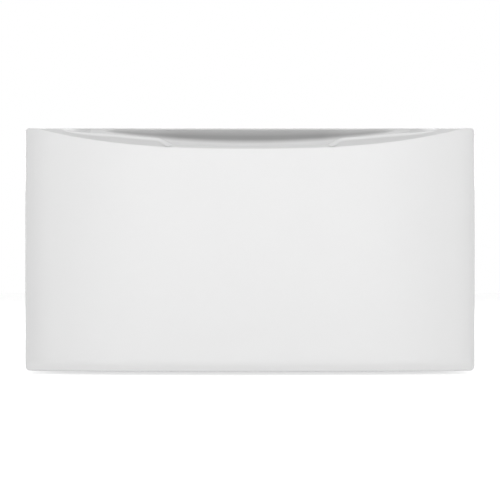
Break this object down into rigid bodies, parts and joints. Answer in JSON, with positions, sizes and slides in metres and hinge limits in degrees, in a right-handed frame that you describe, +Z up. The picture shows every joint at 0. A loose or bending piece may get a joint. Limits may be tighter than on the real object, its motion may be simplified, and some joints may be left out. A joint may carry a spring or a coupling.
{
  "type": "washer pedestal drawer",
  "caption": "Low steel pedestal for a front-loading laundry machine, with a bowed white drawer front, a scooped finger channel along its top, ball-bearing slides and levelling feet.",
  "frame": {"origin": "on the floor, under the middle of the pedestal's bounding box", "axes": "+X to the right as seen from the front, +Y to the back, +Z up; the drawer opens towards -Y"},
  "size_m": [0.686, 0.711, 0.375],
  "materials": {
    "front_plastic": "white, gloss",
    "cabinet_paint": "white powder coat, satin",
    "drawer_steel": "light grey powder coat",
    "galvanised_steel": "galvanised sheet",
    "slide_steel": "bright zinc plate",
    "cage_steel": "plain steel strip",
    "ball_steel": "polished",
    "fastener_steel": "zinc plated",
    "bumper_rubber": "matte",
    "foot_plastic": "moulded, matte",
    "lever_plastic": "moulded, matte"
  },
  "bodies": {
    "cabinet": {"left_side_panel": "cabinet_paint", "right_side_panel": "cabinet_paint", "back_panel": "galvanised_steel", "top_deck": "cabinet_paint", "deck_hat_rails": "galvanised_steel", "deck_corner_plates": "galvanised_steel", "base_front_rail": "galvanised_steel", "base_rear_rail": "galvanised_steel", "leg_brackets": "galvanised_steel", "weld_nuts": "fastener_steel", "lock_nuts": "fastener_steel", "back_panel_screws": "fastener_steel", "left_slide_bracket": "galvanised_steel", "right_slide_bracket": "galvanised_steel", "bracket_rivets": "fastener_steel", "left_slide_outer": "slide_steel", "right_slide_outer": "slide_steel"},
    "drawer": {"drawer_front": "front_plastic", "drawer_inner_front": "drawer_steel", "drawer_left_side": "drawer_steel", "drawer_right_side": "drawer_steel", "drawer_bottom": "drawer_steel", "drawer_back": "drawer_steel", "drawer_front_screws": "fastener_steel", "drawer_bumpers": "bumper_rubber", "left_slide_inner": "slide_steel", "right_slide_inner": "slide_steel", "drawer_side_rivets": "fastener_steel"},
    "left_middle_member": {"left_slide_middle": "slide_steel"},
    "left_outer_ball_strip": {"left_outer_cage": "cage_steel", "left_outer_balls": "ball_steel"},
    "left_inner_ball_strip": {"left_inner_cage": "cage_steel", "left_inner_balls": "ball_steel"},
    "left_lever": {"left_release_lever": "lever_plastic"},
    "right_middle_member": {"right_slide_middle": "slide_steel"},
    "right_outer_ball_strip": {"right_outer_cage": "cage_steel", "right_outer_balls": "ball_steel"},
    "right_inner_ball_strip": {"right_inner_cage": "cage_steel", "right_inner_balls": "ball_steel"},
    "right_lever": {"right_release_lever": "lever_plastic"},
    "front_left_foot": {"front_left_foot_base": "foot_plastic", "front_left_foot_stud": "fastener_steel"},
    "front_right_foot": {"front_right_foot_base": "foot_plastic", "front_right_foot_stud": "fastener_steel"},
    "rear_left_foot": {"rear_left_foot_base": "foot_plastic", "rear_left_foot_stud": "fastener_steel"},
    "rear_right_foot": {"rear_right_foot_base": "foot_plastic", "rear_right_foot_stud": "fastener_steel"}
  },
  "joints": [
    {"name": "drawer_slide", "type": "slide", "parent": "cabinet", "child": "drawer", "axis": [0, -1, 0], "range_m": [0, 0.5]},
    {"name": "left_middle_travel", "type": "slide", "parent": "cabinet", "child": "left_middle_member", "axis": [0, -1, 0], "range_m": [0, 0.25]},
    {"name": "left_outer_cage_travel", "type": "slide", "parent": "cabinet", "child": "left_outer_ball_strip", "axis": [0, -1, 0], "range_m": [0, 0.125]},
    {"name": "left_inner_cage_travel", "type": "slide", "parent": "cabinet", "child": "left_inner_ball_strip", "axis": [0, -1, 0], "range_m": [0, 0.375]},
    {"name": "right_middle_travel", "type": "slide", "parent": "cabinet", "child": "right_middle_member", "axis": [0, -1, 0], "range_m": [0, 0.25]},
    {"name": "right_outer_cage_travel", "type": "slide", "parent": "cabinet", "child": "right_outer_ball_strip", "axis": [0, -1, 0], "range_m": [0, 0.125]},
    {"name": "right_inner_cage_travel", "type": "slide", "parent": "cabinet", "child": "right_inner_ball_strip", "axis": [0, -1, 0], "range_m": [0, 0.375]},
    {"name": "left_lever_pivot", "type": "hinge", "parent": "drawer", "child": "left_lever", "pos_m": [-0.308, 0.1032, 0.19], "axis": [-1, 0, 0], "range_deg": [0, 8], "stiffness_Nm_per_rad": 0.3},
    {"name": "right_lever_pivot", "type": "hinge", "parent": "drawer", "child": "right_lever", "pos_m": [0.308, 0.1032, 0.19], "axis": [-1, 0, 0], "range_deg": [0, 8], "stiffness_Nm_per_rad": 0.3},
    {"name": "front_left_foot_travel", "type": "slide", "parent": "cabinet", "child": "front_left_foot", "axis": [0, 0, -1], "range_m": [0, 0.02]},
    {"name": "front_right_foot_travel", "type": "slide", "parent": "cabinet", "child": "front_right_foot", "axis": [0, 0, -1], "range_m": [0, 0.02]},
    {"name": "rear_left_foot_travel", "type": "slide", "parent": "cabinet", "child": "rear_left_foot", "axis": [0, 0, -1], "range_m": [0, 0.02]},
    {"name": "rear_right_foot_travel", "type": "slide", "parent": "cabinet", "child": "rear_right_foot", "axis": [0, 0, -1], "range_m": [0, 0.02]}
  ],
  "couplings": [
    {"joint": "left_middle_travel", "follows": "drawer_slide", "ratio": 0.5},
    {"joint": "left_outer_cage_travel", "follows": "drawer_slide", "ratio": 0.25},
    {"joint": "left_inner_cage_travel", "follows": "drawer_slide", "ratio": 0.75},
    {"joint": "right_middle_travel", "follows": "drawer_slide", "ratio": 0.5},
    {"joint": "right_outer_cage_travel", "follows": "drawer_slide", "ratio": 0.25},
    {"joint": "right_inner_cage_travel", "follows": "drawer_slide", "ratio": 0.75}
  ]
}
